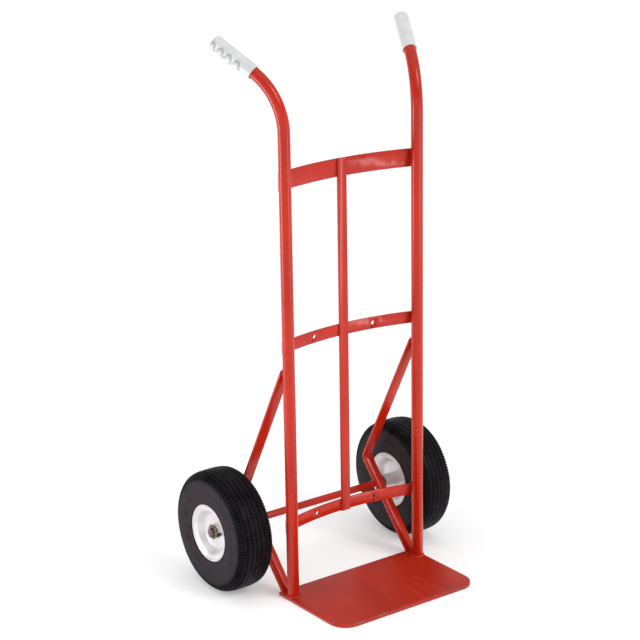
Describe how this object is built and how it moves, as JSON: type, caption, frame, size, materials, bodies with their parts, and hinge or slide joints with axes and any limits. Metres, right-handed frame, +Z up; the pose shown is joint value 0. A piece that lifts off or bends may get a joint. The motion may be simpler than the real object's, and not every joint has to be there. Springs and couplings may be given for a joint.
{
  "type": "hand truck",
  "caption": "Upright hand truck with a bent round tube frame, bowed flat cross members, a toe plate, V-shaped axle brackets and air-filled wheels that spin on a fixed axle.",
  "frame": {"origin": "on the floor, at the middle of the whole truck's width and length", "axes": "+Z up, +Y to the back (the side the handles lean to), +X to the right of someone who faces the toe plate"},
  "size_m": [0.571, 0.4638, 1.1833],
  "materials": {
    "red_paint": "gloss enamel over steel, slightly orange-peeled",
    "grip_plastic": "smooth semi-gloss moulded plastic",
    "tyre_rubber": "satin moulded rubber",
    "tube_rubber": "matt butyl rubber",
    "rim_silver": "silver enamel on stamped steel",
    "plated_steel": "zinc plated, dulled and rust stained",
    "bearing_steel": "oiled and darkened",
    "valve_brass": "dull brass",
    "cap_rubber": "matt black"
  },
  "bodies": {
    "frame": {"toe_plate": "red_paint", "upper_cross_member": "red_paint", "middle_cross_member": "red_paint", "lower_cross_member": "red_paint", "centre_strap": "red_paint", "axle": "red_paint", "left_upright": "red_paint", "left_grip": "grip_plastic", "left_axle_bracket": "red_paint", "left_inner_washer": "plated_steel", "left_outer_washer": "plated_steel", "left_split_pin": "plated_steel", "right_upright": "red_paint", "right_grip": "grip_plastic", "right_axle_bracket": "red_paint", "right_inner_washer": "plated_steel", "right_outer_washer": "plated_steel", "right_split_pin": "plated_steel"},
    "left_wheel": {"left_tyre": "tyre_rubber", "left_inner_tube": "tube_rubber", "left_rim_outer_half": "rim_silver", "left_rim_inner_half": "rim_silver", "left_rim_band": "rim_silver", "left_hub_sleeve": "rim_silver", "left_outer_bushing": "bearing_steel", "left_inner_bushing": "bearing_steel", "left_valve_stem": "valve_brass", "left_valve_cap": "cap_rubber"},
    "right_wheel": {"right_tyre": "tyre_rubber", "right_inner_tube": "tube_rubber", "right_rim_outer_half": "rim_silver", "right_rim_inner_half": "rim_silver", "right_rim_band": "rim_silver", "right_hub_sleeve": "rim_silver", "right_outer_bushing": "bearing_steel", "right_inner_bushing": "bearing_steel", "right_valve_stem": "valve_brass", "right_valve_cap": "cap_rubber"}
  },
  "joints": [
    {"name": "left_wheel_spin", "type": "hinge", "parent": "frame", "child": "left_wheel", "pos_m": [-0.242, 0.1004, 0.1315], "axis": [1, 0, 0], "continuous": true},
    {"name": "right_wheel_spin", "type": "hinge", "parent": "frame", "child": "right_wheel", "pos_m": [0.242, 0.1004, 0.1315], "axis": [1, 0, 0], "continuous": true}
  ]
}
